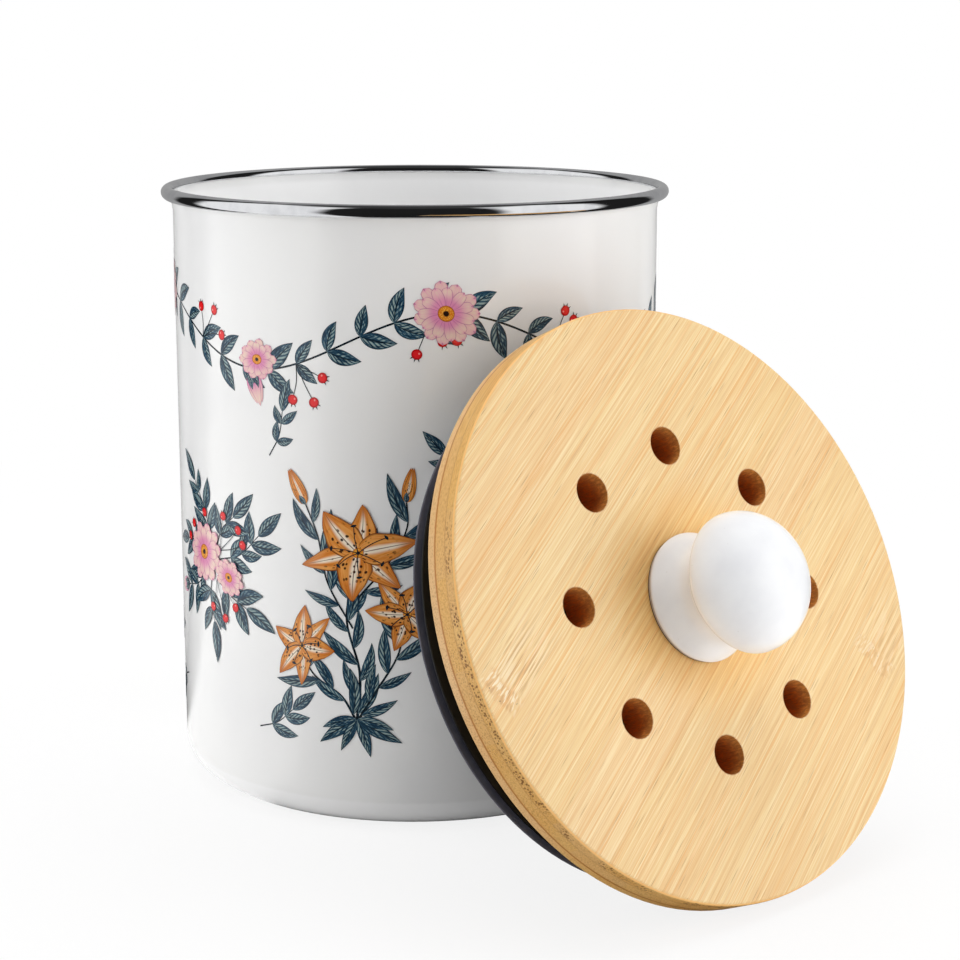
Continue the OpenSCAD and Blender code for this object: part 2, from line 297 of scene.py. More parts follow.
def board_side(tree, tone, face_on, place, lot, lot2, ply):
    """The turned edge: three plies, whose fibres are seen end on as dots, and their glue lines, with a
    painted highlight where the side turns into the face.
    """
    along, across, depth = split(tree, place)
    side = rise(tree, face_on, 0.75, 0.25)
    soft = noise(tree, join(tree, times(tree, across, 0.05), times(tree, ply, 9.0)), 1.0, 1.0)
    soft = rise(tree, soft, 0.4, 0.6)
    wood = blend(tree, lot, rgb(223, 178, 106), rgb(217, 170, 96))
    back = times(tree, rise(tree, ply, 0.5, 0.0), rise(tree, across, -18.0, 6.0))
    shift = times(tree, lot, 50.0)
    end_cut = rise(tree, calc(tree, "ABSOLUTE", facing(tree, GRAIN)), 0.3, 0.75)
    front = calc(tree, "GREATER_THAN", ply, 1.5)
    # Dots crowd near the face, in patches and beside the knuckle.
    patch = noise(tree, join(tree, times(tree, across, 0.045), times(tree, ply, 3.0)), 1.0, 1.0)
    by_knuckle = times(tree, hump(tree, across, 38.0, 24.0), rise(tree, along, 0.0, -20.0))
    patch = highest(tree, rise(tree, patch, 0.47, 0.53), rise(tree, by_knuckle, 0.1, 0.4))
    grain = join(tree, shift, across, depth)
    cork = noise(tree, grain, 2.0, 3.0, 0.6)
    small = rise(tree, cells(tree, grain, 1.7), 0.42, 0.2)
    small_share = plus(tree, times(tree, patch, 0.2), 0.35)
    uneven = plus(tree, depth, times(tree, noise(tree, grain, 0.2, 1.0), 3.0))
    crowd = rise(tree, uneven, BOARD_T - 2.8, BOARD_T - 1.2)
    dots = cells(tree, join(tree, shift, across, times(tree, depth, 0.8)), 1.25)
    dots = rise(tree, dots, 0.46, 0.3)
    dot_share = times(tree, front, patch, crowd)
    marks = (
        (soft, 0.6, rgb(216, 162, 82)),
        (rise(tree, lot2, 0.6, 0.75), 0.5, rgb(216, 172, 112)),
        (back, 0.6, rgb(224, 184, 136)),
        (rise(tree, cork, 0.5, 0.62), 0.35, rgb(172, 118, 60)),
        (rise(tree, cork, 0.46, 0.36), 0.4, rgb(228, 188, 130)),
        (times(tree, small, end_cut, small_share), 0.8, rgb(140, 92, 44)),
        (times(tree, dots, end_cut, dot_share), 0.95, rgb(128, 82, 34)),
        (hump(tree, depth, GLUE_HIGH, 0.45), 0.4, rgb(170, 116, 60)),
        (hump(tree, depth, GLUE_LOW, 0.6), 1.0, rgb(172, 106, 36)),
    )
    tone = blend(tree, side, tone, mark(tree, wood, marks))
    # Painted highlight: a pale orange line where the side turns into the face.
    painted_edge_highlight = hump(tree, face_on, 0.62, 0.34)
    return blend(tree, painted_edge_highlight, tone, rgb(255, 198, 118))


def vents(tree, tone, face_on, along, across, depth, place):
    """The vents are bored hot: browned walls, painted lighter towards the mouth as painted light, and a thin
    scorched line round each mouth.
    """
    turn = math.radians(VENT_TILT)
    step = 2 * math.pi / VENT_COUNT
    angle = minus(tree, calc(tree, "ARCTAN2", across, along), turn)
    nearest = calc(tree, "ROUND", calc(tree, "DIVIDE", angle, step))
    near = plus(tree, times(tree, nearest, step), turn)
    off_x = minus(tree, along, times(tree, calc(tree, "COSINE", near), VENT_RING))
    off_y = minus(tree, across, times(tree, calc(tree, "SINE", near), VENT_RING))
    out = norm(tree, join(tree, off_x, off_y))
    wall = times(tree, rise(tree, out, VENT_R + 0.7, VENT_R + 0.3), rise(tree, face_on, 0.8, 0.3))
    char = noise(tree, stretch(tree, place, 1.2, 1.2, 0.5), 1.0, 4.0, 0.7)
    scores = noise(tree, stretch(tree, place, 2.5, 2.5, 0.2), 1.0, 2.0, 0.6)
    browned = blend(tree, rise(tree, char, 0.35, 0.7), rgb(226, 124, 38), rgb(242, 160, 80))
    marks = (
        (rise(tree, scores, 0.52, 0.66), 0.5, rgb(170, 78, 20)),
        # Painted light: the browned wall is lighter towards the mouth, where more light gets in.
        (rise(tree, depth, 5.0, BOARD_T), 0.7, rgb(254, 192, 100)),
    )
    tone = blend(tree, wall, tone, mark(tree, browned, marks))
    ring = times(tree, rise(tree, out, VENT_R + 0.36, VENT_R), rise(tree, char, 0.3, 0.6))
    return blend(tree, times(tree, ring, 0.6), tone, rgb(150, 74, 28)), wall


def bamboo():
    """Strips of cane in three plies, with knuckles, bored vents and a turned side."""
    material, tree, shader = finish("bamboo", Roughness=0.42, IOR=1.48)
    place = lid_place(tree)
    along, across, depth = split(tree, place)
    face = facing(tree, LID_OUT)
    face_on = calc(tree, "ABSOLUTE", face)

    # Strips, glued side by side in three plies.
    ply = plus(tree, *(calc(tree, "GREATER_THAN", depth, glue) for glue in (GLUE_LOW, GLUE_HIGH)))
    sway = times(tree, noise(tree, stretch(tree, place, 0.01, 0.05, 0.05)), 1.2)
    lane = calc(tree, "DIVIDE", plus(tree, across, sway), STRIP_W)
    lane = plus(tree, lane, times(tree, ply, 0.43))
    strip_id = join(tree, calc(tree, "FLOOR", lane), times(tree, ply, 7.0))
    lot = chance(tree, strip_id)
    lot2 = chance(tree, stretch(tree, strip_id, 1.7, 3.1, 1))
    seam = hump(tree, calc(tree, "FRACT", lane), 0.008, 0.012)

    # Fibres run along the grain and start anew in each strip.
    start = plus(tree, along, times(tree, lot, 900.0))
    fibre_at = join(tree, start, across, depth)

    def streaks(lengthwise, crosswise, detail, roughness):
        drawn_out = stretch(tree, fibre_at, lengthwise, crosswise, crosswise)
        return noise(tree, drawn_out, 1.0, detail, roughness)

    zone = streaks(0.004, 0.14, 2.0, 0.5)
    broad = streaks(0.006, 0.6, 2.0, 0.5)
    fine = streaks(0.012, 1.5, 3.0, 0.6)
    warm = streaks(0.008, 1.1, 2.0, 0.55)
    thread = streaks(0.035, 2.6, 2.0, 0.5)
    hair = streaks(0.03, 4.2, 2.0, 0.6)
    vessel = cells(tree, stretch(tree, fibre_at, 0.035, 1.35, 1.35))

    marks = (
        (rise(tree, lot2, 0.45, 0.8), 0.3, rgb(238, 196, 148)),
        (rise(tree, zone, 0.48, 0.64), 0.4, rgb(236, 190, 130)),
        (rise(tree, broad, 0.5, 0.66), 0.2, rgb(230, 180, 116)),
        (rise(tree, broad, 0.47, 0.34), 0.25, rgb(246, 222, 170)),
        (rise(tree, warm, 0.55, 0.66), 0.5, rgb(234, 168, 94)),
        (rise(tree, fine, 0.52, 0.62), 0.3, rgb(226, 172, 112)),
        (rise(tree, fine, 0.43, 0.34), 0.5, rgb(250, 228, 180)),
        (rise(tree, thread, 0.54, 0.62), 0.3, rgb(222, 168, 114)),
        (rise(tree, thread, 0.44, 0.36), 0.45, rgb(252, 232, 188)),
        (rise(tree, hair, 0.58, 0.7), 0.3, rgb(192, 142, 98)),
        (rise(tree, vessel, 0.15, 0.05), 0.65, rgb(160, 108, 72)),
        (seam, 0.25, rgb(196, 144, 90)),
    )
    tone = mark(tree, blend(tree, lot, rgb(241, 211, 156), rgb(238, 204, 146)), marks)
    # Painted shade: the face is tinted darker and warmer near the knob, where its shadow falls.
    out = norm(tree, join(tree, along, across))
    painted_knob_shade = times(tree, rise(tree, out, 40.0, 18.0), 0.6)
    tone = blend(tree, painted_knob_shade, tone, rgb(255, 230, 172), "MULTIPLY")
    for spot in KNUCKLES:
        tone = knuckle(tree, tone, face, place, *spot)
    tone = board_side(tree, tone, face_on, place, lot, lot2, ply)
    tone, wall = vents(tree, tone, face_on, along, across, depth, place)

    grooves = plus(tree, times(tree, fine, 0.6), times(tree, hair, 0.5))
    grooves = minus(tree, grooves, times(tree, rise(tree, vessel, 0.12, 0.03), 0.5))
    dull = plus(tree, times(tree, fine, 0.18), 0.34)
    rough = plus(tree, dull, times(tree, wall, 0.3))
    feed(tree, shader, Base_Color=tone, Roughness=rough, Normal=bumps(tree, grooves, 0.04, 0.4))
    return material


def glaze():
    """White glaze, thinner and warmer at the knob's foot, with a few pits."""
    material, tree, shader = finish("glaze", Roughness=0.22, IOR=1.5)
    place = lid_place(tree)
    depth = split(tree, place)[2]
    mottle = noise(tree, place, 0.09, 3.0)
    white = blend(tree, rise(tree, mottle, 0.35, 0.7), rgb(250, 251, 253), rgb(245, 246, 249))
    thin = hump(tree, depth, BOARD_T + 1.2, 1.1)
    colour = blend(tree, times(tree, thin, 0.35), white, rgb(214, 206, 198))
    pits = rise(tree, cells(tree, place, 0.22), 0.06, 0.02)
    colour = blend(tree, times(tree, pits, 0.2), colour, rgb(160, 152, 144))
    wave = noise(tree, place, 0.12, 2.0)
    rough = put(tree, "MapRange", {"Value": mottle, "To Min": 0.17, "To Max": 0.28})
    normal = bumps(tree, minus(tree, wave, times(tree, pits, 0.6)), 0.05, 0.35)
    feed(tree, shader, Base_Color=colour, Roughness=rough, Normal=normal)
    return material


def rubber(name, dark, light, rough, second, split_at, soft):
    """Moulded rubber with a fine matt skin and dust. Above split_at it has a second colour. The seal's
    second colour is painted shade next to the board, and the gasket's dark part below is painted shade where
    it meets the board.
    """
    material, tree, shader = finish(name, IOR=1.48)
    place = lid_place(tree)
    depth = split(tree, place)[2]
    skin = noise(tree, place, 3.2, 4.0, 0.7)
    dust = noise(tree, place, 0.16, 4.0)
    colour = blend(tree, rise(tree, dust, 0.4, 0.75), dark, light)
    colour = blend(tree, rise(tree, depth, split_at - soft, split_at + soft), colour, second)
    gloss = plus(tree, times(tree, skin, 0.16), rough)
    feed(tree, shader, Base_Color=colour, Roughness=gloss, Normal=bumps(tree, skin, 0.03, 0.4))
    return material


def moulded_plastic():
    """Black plastic with a spark-eroded grain."""
    material, tree, shader = finish("black_plastic", IOR=1.5)
    place = lid_place(tree)
    grain = cells(tree, place, 2.4)
    flow = noise(tree, place, 0.07, 3.0)
    colour = blend(tree, rise(tree, flow, 0.35, 0.7), rgb(22, 22, 25), rgb(33, 33, 36))
    rough = plus(tree, times(tree, grain, 0.2), 0.34)
    feed(tree, shader, Base_Color=colour, Roughness=rough, Normal=bumps(tree, grain, 0.03, 0.5))
    return material


def felt():
    """Charcoal felt: matted fibres with coal dust."""
    fuzz = {"Sheen_Weight": 0.3, "Sheen_Roughness": 0.5}
    material, tree, shader = finish("charcoal", Roughness=0.95, **fuzz)
    place = lid_place(tree)
    swirl = noise(tree, place, 0.5, 2.0, output=1)
    bent = put(tree, "VectorMath", {0: place, 1: swirl}, operation="ADD")
    strands = noise(tree, stretch(tree, bent, 0.7, 4.0, 2.0), 1.0, 4.0, 0.7)
    cross = noise(tree, stretch(tree, bent, 4.0, 0.7, 2.0), 1.0, 4.0, 0.7)
    mat = highest(tree, strands, cross)
    grit = rise(tree, cells(tree, place, 1.1), 0.22, 0.08)
    colour = blend(tree, rise(tree, mat, 0.45, 0.75), rgb(26, 26, 27), rgb(62, 62, 64))
    colour = blend(tree, times(tree, grit, 0.7), colour, rgb(10, 10, 10))
    feed(tree, shader, Base_Color=colour, Normal=bumps(tree, mat, 0.25, 0.8))
    return material


def turned_metal(name, pale, deep, rough):
    """Machined metal: rings left by the tool around the lid's axis, and a few stains."""
    material, tree, shader = finish(name, Metallic=1.0)
    place = lid_place(tree)
    along, across, depth = split(tree, place)
    out = norm(tree, join(tree, along, across))
    rings = noise(tree, join(tree, times(tree, out, 7.0), times(tree, depth, 7.0)), 1.0, 2.0)
    stain = noise(tree, place, 0.25, 4.0)
    colour = blend(tree, rise(tree, stain, 0.35, 0.7), pale, deep)
    gloss = plus(tree, times(tree, rings, 0.2), rough)
    feed(tree, shader, Base_Color=colour, Roughness=gloss, Normal=bumps(tree, rings, 0.02, 0.4))
    return material


# One for each material slot in the CAD's record.
FINISHES = {
    "enamel": enamel(),
    "rim_steel": rim_steel(),
    "bamboo": bamboo(),
    "glaze": glaze(),
    # Painted shade: the gasket is dark below split_at, a thin dark line for the shadow where it meets the
    # board, and pale above.
    "gasket": rubber(
        "gasket", rgb(66, 50, 38), rgb(84, 64, 48), 0.5,
        second=rgb(196, 182, 170), split_at=BOARD_T + 0.3, soft=0.1,
    ),
    # Painted shade: the seal is black next to the board, standing in for the shade in the recess behind the
    # bamboo.
    "seal": rubber(
        "seal", rgb(82, 82, 94), rgb(96, 96, 108), 0.45,
        second=rgb(11, 11, 12), split_at=SEAL_SPLIT, soft=0.3,
    ),
    "black_plastic": moulded_plastic(),
    "charcoal": felt(),
    "brass": turned_metal("brass", rgb(222, 192, 122), rgb(186, 148, 82), 0.2),
    "screw_steel": turned_metal("screw_steel", rgb(206, 207, 210), rgb(170, 171, 176), 0.22),
}


# ---------------------------------------------------------------- smooth shading of CAD nodes
SMOOTH_LIMIT = 32      # degrees; faces that meet at more than this keep their edge
SPOTS_PER_M = 2e6      # corners half a micrometre apart share a spot
NO_LENGTH, NO_AREA = 1e-9, 1e-18


def read(items, key, kind, width=1):
    """One property of all of a mesh's corners, vertices or faces, as an array."""
    values = np.zeros(len(items) * width, kind)
    items.foreach_get(key, values)
    return values if width == 1 else values.reshape(-1, width)


def smooth(node):
    """Gives a CAD mesh normals that run smoothly over curved faces and break at its real edges."""
    mesh = node.data
    corner = read(mesh.loops, "vertex_index", np.int32)
    at = read(mesh.vertices, "co", float, 3)[corner]
    first = read(mesh.polygons, "loop_start", np.int32)
    count = read(mesh.polygons, "loop_total", np.int32)
    face_of = np.repeat(np.arange(len(first)), count)
    flat = read(mesh.polygons, "normal", float, 3)[face_of]
    after = np.arange(len(corner)) + 1
    after[first + count - 1] = first
    before = np.arange(len(corner)) - 1
    before[first] = first + count - 1
    one, two = at[after] - at, at[before] - at
    size = np.linalg.norm(one, axis=1) * np.linalg.norm(two, axis=1)
    cosine = np.clip((one * two).sum(1) / np.maximum(size, NO_AREA), -1, 1)
    pull = flat * np.arccos(cosine)[:, None]
    keys = np.round(at * SPOTS_PER_M).astype(np.int64)
    _, group = np.unique(keys, axis=0, return_inverse=True)
    group = group.ravel()
    order = np.argsort(group, kind="stable")
    edges = np.flatnonzero(np.diff(group[order])) + 1
    result = flat.copy()
    near = math.cos(math.radians(SMOOTH_LIMIT))
    for members in np.split(order, edges):
        kin = (flat[members] @ flat[members].T) > near
        total = kin @ pull[members]
        length = np.linalg.norm(total, axis=1)
        good = length > NO_LENGTH
        result[members[good]] = total[good] / length[good, None]
    mesh.shade_smooth()
    mesh.normals_split_custom_set(result.tolist())


def add(name, data):
    """A mesh, lamp or camera as an object in the scene."""
    item = bpy.data.objects.new(name, data)
    bpy.context.scene.collection.objects.link(item)
    return item


for entry in frame["record"]["subparts"]:
    part = NODES[entry["node"]]
    smooth(part)
    part.data.materials.clear()
    part.data.materials.append(FINISHES[entry["material_slot"]])


# ---------------------------------------------------------------- the printed wall
def ink_sockets(tree):
    """A place in a shape: -1 to 1 across, the same without its sign, 0 to 1 along; two lots."""
    uv = put(tree, "UVMap", uv_map="shape")
    u, v, _ = split(tree, uv)
    off = minus(tree, times(tree, u, 2.0), 1.0)
    lots = put(tree, "Attribute", output=0, attribute_name="lot")
    node = tree.nodes.new("ShaderNodeSeparateColor")
    tree.links.new(lots, node.inputs[0])
    return off, calc(tree, "ABSOLUTE", off), v, node.outputs[0], node.outputs[1]


def ink(name, paint):
    """A printed colour under the enamel's clear gloss."""
    material, tree, shader = finish("ink_" + name, Roughness=0.1, IOR=1.52)
    colour = paint(tree, *ink_sockets(tree))
    ripple = noise(tree, in_mm(tree), 0.22, 2.0, 0.5)
    feed(tree, shader, Base_Color=colour, Normal=bumps(tree, ripple, 0.02, 0.35))
    return material


def brush(tree, off, v, lot, across, along):
    """Strokes that run along a shape, different in each shape."""
    shift = times(tree, lot, 40.0)
    place = join(tree, times(tree, off, across), times(tree, v, along), shift)
    return noise(tree, place, 1.0, 3.0, 0.6)


def paint_leaf(tree, off, edge, v, lot, lot2):
    """Dark blue-green, with veins and pale fields between them, mostly on one half."""
    strokes = brush(tree, off, v, lot, 5.0, 3.0)
    beat = calc(tree, "FRACT", times(tree, minus(tree, v, times(tree, edge, 0.3)), 6.5))
    half = rise(tree, times(tree, off, minus(tree, times(tree, lot, 3.0), 1.5)), -0.1, 0.25)
    brushed = rise(tree, plus(tree, strokes, times(tree, half, 0.16)), 0.5, 0.62)
    clear = times(tree, hump(tree, beat, 0.5, 0.42), rise(tree, edge, 0.9, 0.6), brushed)
    side_veins = highest(tree, hump(tree, beat, 0.0, 0.13), hump(tree, beat, 1.0, 0.13))
    vein = highest(
        tree, times(tree, side_veins, rise(tree, edge, 0.92, 0.7)), rise(tree, edge, 0.13, 0.06),
        rise(tree, edge, 0.8, 0.97), rise(tree, v, 0.9, 0.99),
    )
    marks = (
        (rise(tree, lot2, 0.2, 0.9), 1.0, rgb(34, 64, 84)),
        (rise(tree, strokes, 0.45, 0.62), 1.0, rgb(60, 100, 122)),
        (clear, 0.9, rgb(170, 190, 184)),
        (vein, 0.88, rgb(12, 26, 38)),
    )
    base = blend(tree, rise(tree, strokes, 0.35, 0.65), rgb(24, 52, 74), rgb(52, 92, 116))
    return mark(tree, base, marks)


def paint_petal(tree, off, edge, v, lot, lot2):
    """Pink at the root and pale beyond, with a fold and an outline."""
    strokes = brush(tree, off, v, lot, 7.0, 1.6)
    fold = times(tree, rise(tree, edge, 0.12, 0.03), rise(tree, v, 0.75, 0.2), 0.6)
    line = highest(tree, rise(tree, edge, 0.8, 0.98), rise(tree, v, 0.95, 0.995), fold)
    marks = (
        (rise(tree, strokes, 0.45, 0.65), 0.55, rgb(238, 168, 192)),
        (rise(tree, v, 0.82, 1.0), 0.7, rgb(240, 172, 190)),
        (lot2, 0.3, rgb(232, 150, 186)),
        (line, 0.8, rgb(186, 104, 152)),
    )
    base = blend(tree, rise(tree, v, 0.25, 0.8), rgb(222, 138, 180), rgb(240, 216, 196))
    return mark(tree, base, marks)


def paint_lily(tree, off, edge, v, lot, lot2):
    """Orange with a white stripe, dark spots near the root and an outline."""
    strokes = brush(tree, off, v, lot, 6.0, 2.2)
    stripe = times(tree, rise(tree, edge, 0.35, 0.08), rise(tree, v, 0.95, 0.6))
    place = join(tree, times(tree, off, 3.4), times(tree, v, 9.0), times(tree, lot, 30.0))
    spots = rise(tree, cells(tree, place), 0.34, 0.24)
    spots = times(tree, spots, rise(tree, v, 0.72, 0.5), rise(tree, edge, 0.85, 0.7))
    outline = highest(tree, rise(tree, edge, 0.84, 0.98), rise(tree, v, 0.95, 0.995))
    marks = (
        (stripe, 1.0, rgb(250, 236, 214)),
        (rise(tree, v, 0.55, 1.0), 0.6, rgb(176, 84, 28)),
        (spots, 0.95, rgb(40, 20, 12)),
        (highest(tree, outline, rise(tree, edge, 0.05, 0.01)), 0.85, rgb(96, 40, 14)),
    )
    base = blend(tree, rise(tree, strokes, 0.35, 0.65), rgb(214, 124, 44), rgb(236, 164, 84))
    return mark(tree, base, marks)


def paint_heart(tree, off, edge, v, lot, lot2):
    """A flower's middle: a dark core, then stamens in yellow and orange."""
    up = minus(tree, times(tree, v, 2.0), 1.0)
    out = norm(tree, join(tree, off, up))
    grains = cells(tree, join(tree, off, up, times(tree, lot, 9.0)), 7.0)
    base = blend(tree, rise(tree, grains, 0.25, 0.6), rgb(246, 190, 74), rgb(222, 128, 34))
    base = blend(tree, rise(tree, out, 0.78, 0.98), base, rgb(176, 84, 30))
    return blend(tree, rise(tree, out, 0.42, 0.28), base, rgb(44, 24, 16))


def paint_berry(tree, off, edge, v, lot, lot2):
    up = minus(tree, times(tree, v, 2.0), 1.0)
    out = norm(tree, join(tree, off, up))
    base = blend(tree, rise(tree, out, 0.5, 1.0), rgb(232, 34, 38), rgb(176, 14, 24))
    spot = norm(tree, join(tree, plus(tree, off, 0.3), minus(tree, up, 0.35)))
    return blend(tree, times(tree, rise(tree, spot, 0.24, 0.1), 0.7), base, rgb(255, 176, 170))


def paint_stem(tree, off, edge, v, lot, lot2):
    strokes = brush(tree, off, v, lot, 2.0, 9.0)
    return blend(tree, rise(tree, strokes, 0.45, 0.7), rgb(14, 22, 30), rgb(44, 70, 84))


PAINTS = {
    "leaf": paint_leaf, "petal": paint_petal, "lily": paint_lily,
    "heart": paint_heart, "berry": paint_berry, "stem": paint_stem,
}
INKS = {name: ink(name, paint) for name, paint in PAINTS.items()}

PRINT_LIFT = 0.03      # the first layer of ink, clear of the wall
LAYER_STEP = 0.004
LEAF_LAYER, FLOWER_LAYER = 2, 20         # where the garland's leaves and flowers start
SPOKES = 20            # of a disc
RIPPLES = 17           # radians of waviness along a petal's edge
LEAF_GAP = 6           # samples of a lily's stem from one leaf to the next
TWIG, STALK, STAMEN = (0.55, 0.3), (0.35, 0.25), (0.35, 0.28)     # width at the foot and the tip
CELL = 0.9             # ink is cut this fine, so that it follows the wall
PRINT_SEED = 41
draw = random.Random(PRINT_SEED)
sheets = {name: {"at": [], "uv": [], "lot": [], "faces": [], "size": 0} for name in INKS}
pen = {"layer": 0, "frame": np.eye(3)}       # the next shape's layer, and where it goes


def ray(degrees):
    """A step of one, at an angle."""
    return np.array([math.cos(math.radians(degrees)), math.sin(math.radians(degrees))])


def spin(degrees):
    ahead, up = ray(degrees)
    return np.array([[ahead, -up], [up, ahead]])


def stamp(name, points, uv, faces):
    """Adds a flat shape, given in mm on the unrolled wall, as the next layer of an ink."""
    sheet = sheets[name]
    turn = pen["frame"]
    flat = points @ turn[:2, :2].T + turn[:2, 2]
    radius = WALL_R + PRINT_LIFT + pen["layer"] * LAYER_STEP
    pen["layer"] += 1
    theta = flat[:, 0] / WALL_R
    wrapped = np.stack([radius * np.sin(theta), -radius * np.cos(theta), flat[:, 1]], 1)
    if np.linalg.det(turn[:2, :2]) < 0:
        faces = faces[:, ::-1]
    sheet["at"].append(wrapped * MM)
    sheet["uv"].append(uv)
    sheet["lot"].append(np.tile([draw.random(), draw.random(), 0, 1], (len(points), 1)))
    sheet["faces"].append(faces + sheet["size"])
    sheet["size"] += len(points)


def grid_faces(rows, columns):
    a = (np.arange(rows)[:, None] * (columns + 1) + np.arange(columns)).ravel()
    return np.stack([a, a + columns + 1, a + columns + 2, a + 1], 1)


def lance(t):
    return np.sin(np.pi * t ** 0.8) ** 0.95


def ovate(t):
    return np.sin(np.pi * t ** 0.62) ** 0.85


def strap(t):
    return (0.35 + 0.65 * np.sin(np.pi * np.clip(t, 0, 0.55) / 1.1)) * (1 - t ** 7) ** 0.5


def blade(name, base, heading, length, width, bend=0.0, shape=lance, notch=0.0, ripple=0.0):
    """A leaf or petal: a curved spine with a width that follows shape."""
    rows = max(8, math.ceil(length / CELL))
    columns = 2 * max(2, math.ceil(width / 2 / CELL))
    t = np.linspace(0, 1, rows + 1)
    u = np.linspace(-1, 1, columns + 1)
    angle = np.radians(heading + bend * t)
    run = np.stack([np.cos(angle), np.sin(angle)], 1)
    spine = np.array(base) + np.vstack([[0, 0], np.cumsum(run[:-1], 0)]) * length / rows
    side = np.stack([-run[:, 1], run[:, 0]], 1)
    phase = draw.random() * 6
    half = width / 2 * shape(t) * (1 + ripple * np.sin(t * RIPPLES + phase))
    pull = -notch * length * np.outer(t ** 6, 1 - np.abs(u))
    points = spine[:, None] + u[:, None] * (half[:, None] * side)[:, None]
    points = points + pull[..., None] * run[:, None]
    uv = np.stack(np.meshgrid(0.5 + u / 2, t), -1)
    stamp(name, points.reshape(-1, 2), uv.reshape(-1, 2), grid_faces(rows, columns))


def disc(name, centre, across, tall=None, turn=0.0):
    """A filled ellipse."""
    tall = tall or across
    rings = max(2, math.ceil(max(across, tall) / 2 / CELL))
    r = np.repeat(np.linspace(0, 1, rings + 1), SPOKES)
    a = np.tile(np.linspace(0, 2 * np.pi, SPOKES, endpoint=False), rings + 1)
    local = np.stack([r * np.cos(a), r * np.sin(a)], 1)
    points = (local * [across / 2, tall / 2]) @ spin(turn).T + centre
    i = np.arange(rings)[:, None] * SPOKES
    j = np.arange(SPOKES)
    k = (j + 1) % SPOKES
    faces = np.stack([i + j, i + SPOKES + j, i + SPOKES + k, i + k], -1).reshape(-1, 4)
    stamp(name, points, local / 2 + 0.5, faces)


def through(points):
    """A smooth curve through the given points (Catmull-Rom), sampled finely."""
    knots = np.array(points, float)
    ends = np.vstack([2 * knots[0] - knots[1], knots, 2 * knots[-1] - knots[-2]])
    path = []
    for i in range(1, len(ends) - 2):
        a, b, c, d = ends[i - 1:i + 3]
        steps = max(3, math.ceil(np.linalg.norm(c - b) / CELL))
        for t in np.arange(steps) / steps:
            bend = (2 * a - 5 * b + 4 * c - d) * t * t + (3 * b - a - 3 * c + d) * t ** 3
            path.append(b + ((c - a) * t + bend) / 2)
    return np.array(path + [knots[-1]])


def stroke(points, thick, thin=None):
    """A stem as a ribbon that thins to its end. Returns its samples and their headings."""
    thin = thick if thin is None else thin
    path = through(points)
    run = np.gradient(path, axis=0)
    run /= np.linalg.norm(run, axis=1)[:, None]
    side = np.stack([-run[:, 1], run[:, 0]], 1)
    t = np.linspace(0, 1, len(path))
    half = (thick + (thin - thick) * t)[:, None] / 2
    points = np.stack([path - side * half, path, path + side * half], 1).reshape(-1, 2)
    uv = np.stack([np.tile([0, 0.5, 1], len(path)), np.repeat(t, 3)], 1)
    stamp("stem", points, uv, grid_faces(len(path) - 1, 2))
    return path, np.degrees(np.arctan2(run[:, 1], run[:, 0]))


def place_at(s, z, turn=0.0, flip=False, size=1.0, squash=1.0, squash_at=0.0):
    """Where the next shapes go: a point on the wall, a turn, a size and a foreshortening."""
    grow = spin(turn) @ np.diag([-1 if flip else 1, 1])
    grow = spin(squash_at) @ np.diag([1, squash]) @ spin(-squash_at) @ grow
    pen["frame"] = np.eye(3)
    pen["frame"][:2, :2] = grow * size
    pen["frame"][:2, 2] = s, z


def within(x, y, turn, squash, squash_at):
    """The same, from a point inside the present placing. Returns the placing to go back to."""
    kept = pen["frame"]
    place_at(x, y, turn, squash=squash, squash_at=squash_at)
    pen["frame"] = kept @ pen["frame"]
    return kept


def twig(base, heading, length, pairs, leaf, bend=20.0, end_leaf=True):
    """A stem with leaves in pairs and one at its tip."""
    mid = base + ray(heading) * length / 2
    tip = mid + ray(heading + bend) * length / 2
    path, run = stroke([base, mid, tip], *TWIG)
    for k in range(pairs):
        at = int((k + 1) / (pairs + 0.6) * (len(path) - 1))
        grow = leaf * (0.75 + 0.35 * draw.random())
        for way in (-1, 1):
            spread = run[at] + way * draw.uniform(38, 62)
            long = grow * draw.uniform(0.85, 1.1)
            blade("leaf", path[at], spread, long, grow * 0.4, -way * draw.uniform(10, 35))
    if end_leaf:
        blade("leaf", path[-1], run[-1], leaf * 1.15, leaf * 0.42, draw.uniform(-20, 20))
    return path[-1], run[-1]


def berries(base, heading, length, size=3.4):
    """Three round berries on thin stalks, each with a small dark star at its end."""
    for fan in (-34, 0, 34):
        angle = heading + fan + draw.uniform(-6, 6)
        long = length * draw.uniform(0.75, 1.15)
        droop = angle + draw.uniform(-18, 18)
        mid = base + ray(angle) * long * 0.55
        end = mid + ray(droop) * long * 0.45
        stroke([base, mid, end], *STALK)
        centre = end + ray(droop) * size * 0.45
        for tick in (-38, 0, 38):
            blade("stem", centre, droop + tick, size * 0.8, size * 0.16)
        disc("berry", centre, size, size * 1.05, droop)


def bud(base, heading, size):
    """A closed flower: folded petals in a cup of dark sepals."""
    cup = base + ray(heading) * size * 0.12
    for way in (-1, 1, 0):
        long = size * (0.9 if way else 0.98)
        blade("petal", cup, heading + way * 16, long, size * 0.42, -way * 22, ovate)
    for way in (-1, 0, 1):
        long = size * (0.62 if way else 0.45)
        blade("leaf", base, heading + way * 24, long, size * 0.26, -way * 30)


def daisy(x, y, radius, petals, squash, turn, squash_at):
    """An open flower with two rows of narrow notched petals."""
    kept = within(x, y, turn, squash, squash_at)
    for row, (far, wide) in enumerate(((1.0, 1.06), (0.8, 0.86))):
        for k in range(petals):
            angle = 360 * (k + row * 0.5) / petals + draw.uniform(-4, 4)
            start = ray(angle) * radius * 0.16
            long = radius * far * draw.uniform(0.8, 0.88)
            width = 2 * math.pi * radius / petals * 0.72 * wide
            blade("petal", start, angle, long, width, draw.uniform(-9, 9), strap, notch=0.09)
    disc("heart", (0, 0), radius * 0.5)
    pen["frame"] = kept


